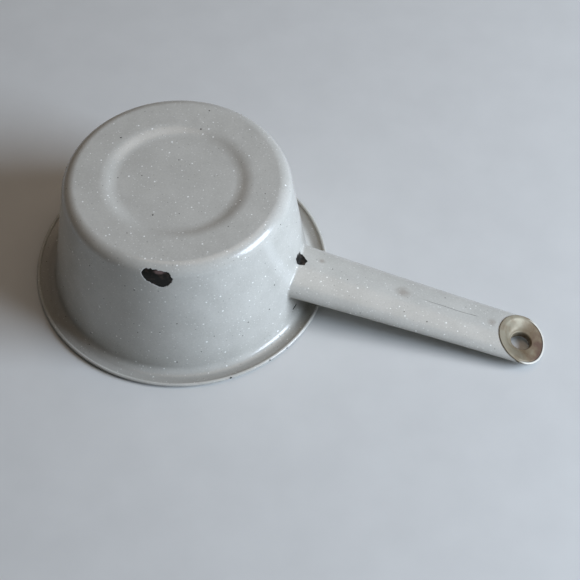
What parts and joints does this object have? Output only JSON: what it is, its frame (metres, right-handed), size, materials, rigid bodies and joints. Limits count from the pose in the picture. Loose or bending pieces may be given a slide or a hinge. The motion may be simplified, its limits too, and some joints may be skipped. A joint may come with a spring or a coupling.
{
  "type": "saucepan",
  "caption": "Small enamelled steel saucepan, stored mouth down, with a flanged and beaded rim, a recessed base and a welded hollow handle with a hanging hole.",
  "frame": {"origin": "the pan's axis in the plane of the mouth, where the rim stands on a surface", "axes": "mouth down: +Z runs from the mouth up to the outside of the base, +X along the handle"},
  "size_m": [0.2908, 0.165, 0.0762],
  "materials": {
    "speckled_enamel": "glossy grey vitreous enamel with fine white and dark specks",
    "worn_steel": "bare tin-washed steel, dulled and stained brown"
  },
  "bodies": {
    "root": {"pan_body": "speckled_enamel", "handle_tube": "speckled_enamel", "root_weld": "speckled_enamel", "end_plate": "worn_steel"}
  },
  "joints": []
}
